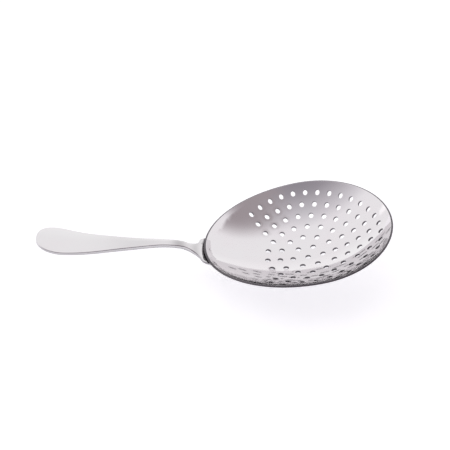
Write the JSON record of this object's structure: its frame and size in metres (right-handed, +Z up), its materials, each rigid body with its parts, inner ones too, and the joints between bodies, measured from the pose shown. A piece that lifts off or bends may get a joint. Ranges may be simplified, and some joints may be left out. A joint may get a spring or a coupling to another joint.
{
  "type": "julep strainer",
  "caption": "Perforated egg-shaped dish strainer with a cranked flat handle whose flared tongue is spot-welded under the rim.",
  "frame": {"origin": "on the surface that the strainer stands on, under the middle of its whole length and of its width", "axes": "+X from the handle towards the far end of the dish, +Z up, XZ is the plane of symmetry; the rim is raised 10.1 degrees at its far end, as the strainer lies at rest on the dish's underside"},
  "size_m": [0.1589, 0.0774, 0.0249],
  "materials": {
    "polished_steel_bowl": "mirror-polished stainless steel sheet",
    "polished_steel_handle": "mirror-polished stainless steel, softened edges",
    "weld_steel": "dull heat-tinted weld dents"
  },
  "bodies": {
    "root": {"strainer_bowl": "polished_steel_bowl", "handle": "polished_steel_handle", "spot_welds": "weld_steel"}
  },
  "joints": []
}
